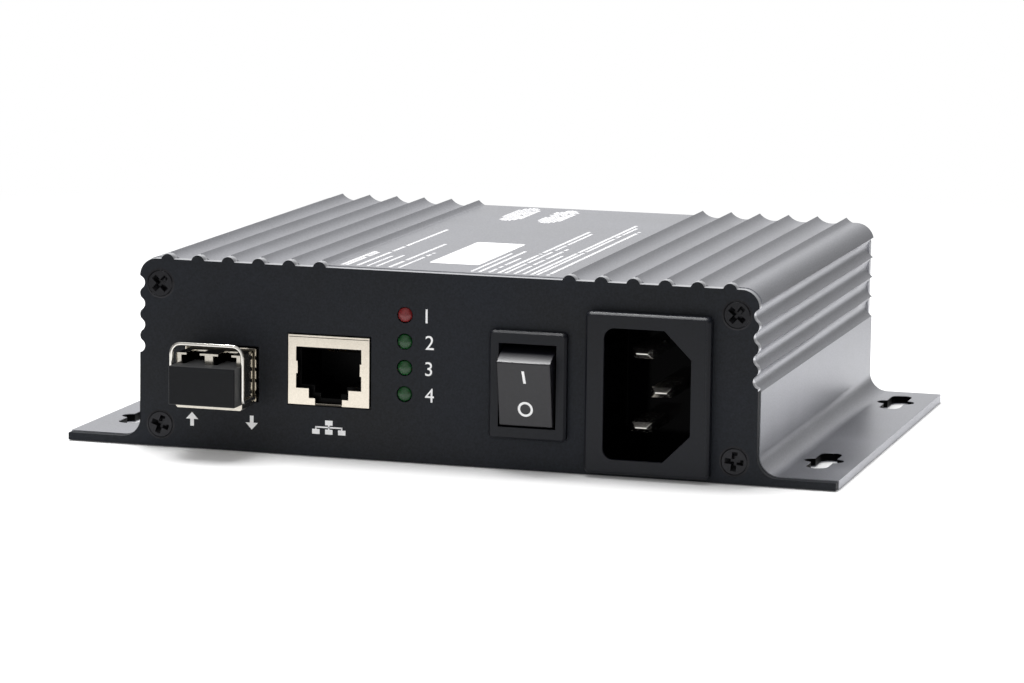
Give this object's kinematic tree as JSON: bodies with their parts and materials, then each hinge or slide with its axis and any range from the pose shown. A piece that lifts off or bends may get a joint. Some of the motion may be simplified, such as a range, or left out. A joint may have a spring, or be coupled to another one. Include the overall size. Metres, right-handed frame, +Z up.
{
  "type": "fibre media converter",
  "caption": "Fibre media converter in a ribbed aluminium case with slotted mounting ears, a plug-in optical transceiver with bail, data jack, lamps, rocker switch and mains inlet.",
  "frame": {"origin": "middle of the case's flat underside, half way along the case and between the ears", "axes": "+X to the right seen from the front panel, +Y from the front panel towards the back, +Z up out of the underside"},
  "size_m": [0.1524, 0.1156, 0.0377],
  "materials": {
    "case": "natural anodised, satin",
    "plate": "black anodised, fine matt grain",
    "screw": "black oxide",
    "board": "green solder mask on glass-epoxy",
    "sheet": "nickel plated",
    "cast_zinc": "nickel-plated zinc casting",
    "wire": "bright steel wire",
    "rubber_black": "soft black moulding",
    "black_plastic": "fine satin moulding",
    "gold": "gold plated",
    "lens_red": "tinted lens, unlit",
    "lens_green": "tinted lens, unlit",
    "white_plastic": "natural nylon",
    "glass": "clear",
    "sleeve": "shrunk sleeve",
    "ferrite": "sintered",
    "tape": "polyester tape"
  },
  "bodies": {
    "case": {"housing": "case", "front_plate": "plate", "rear_plate": "plate", "front_screws": "screw", "rear_screws": "screw", "main_board": "board", "sfp_cage": "sheet", "cage_collar": "sheet", "edge_connector": "black_plastic", "jack_shield": "sheet", "jack_insert": "black_plastic", "jack_contacts": "gold", "red_lamp": "lens_red", "green_lamps": "lens_green", "lamp_leads": "sheet", "switch_body": "black_plastic", "switch_terminals": "sheet", "inlet_body": "black_plastic", "inlet_pins": "sheet", "magnetics": "black_plastic", "controller_chip": "black_plastic", "crystal": "sheet", "mains_header": "white_plastic", "fuse": "glass", "rectifier": "black_plastic", "bulk_capacitor": "sleeve", "transformer_core": "ferrite", "transformer_coil": "tape", "smoothing_capacitors": "sleeve"},
    "transceiver": {"transceiver_body": "cast_zinc", "fibre_barrels": "sheet", "module_board": "board"},
    "bail": {"bail_latch": "wire"},
    "plug": {"dust_plug": "rubber_black"},
    "rocker": {"switch_rocker": "black_plastic"}
  },
  "joints": [
    {"name": "transceiver_slide", "type": "slide", "parent": "case", "child": "transceiver", "axis": [0, -1, 0], "range_m": [0, 0.06]},
    {"name": "bail_swing", "type": "hinge", "parent": "transceiver", "child": "bail", "pos_m": [-0.0442, -0.05405, 0.011], "axis": [1, 0, 0], "range_deg": [0, 90]},
    {"name": "plug_pull", "type": "slide", "parent": "transceiver", "child": "plug", "axis": [0, -1, 0], "range_m": [0, 0.02]},
    {"name": "rocker_tilt", "type": "hinge", "parent": "case", "child": "rocker", "pos_m": [0.0171, -0.04785, 0.0164], "axis": [-1, 0, 0], "range_deg": [0, 20.6]}
  ]
}
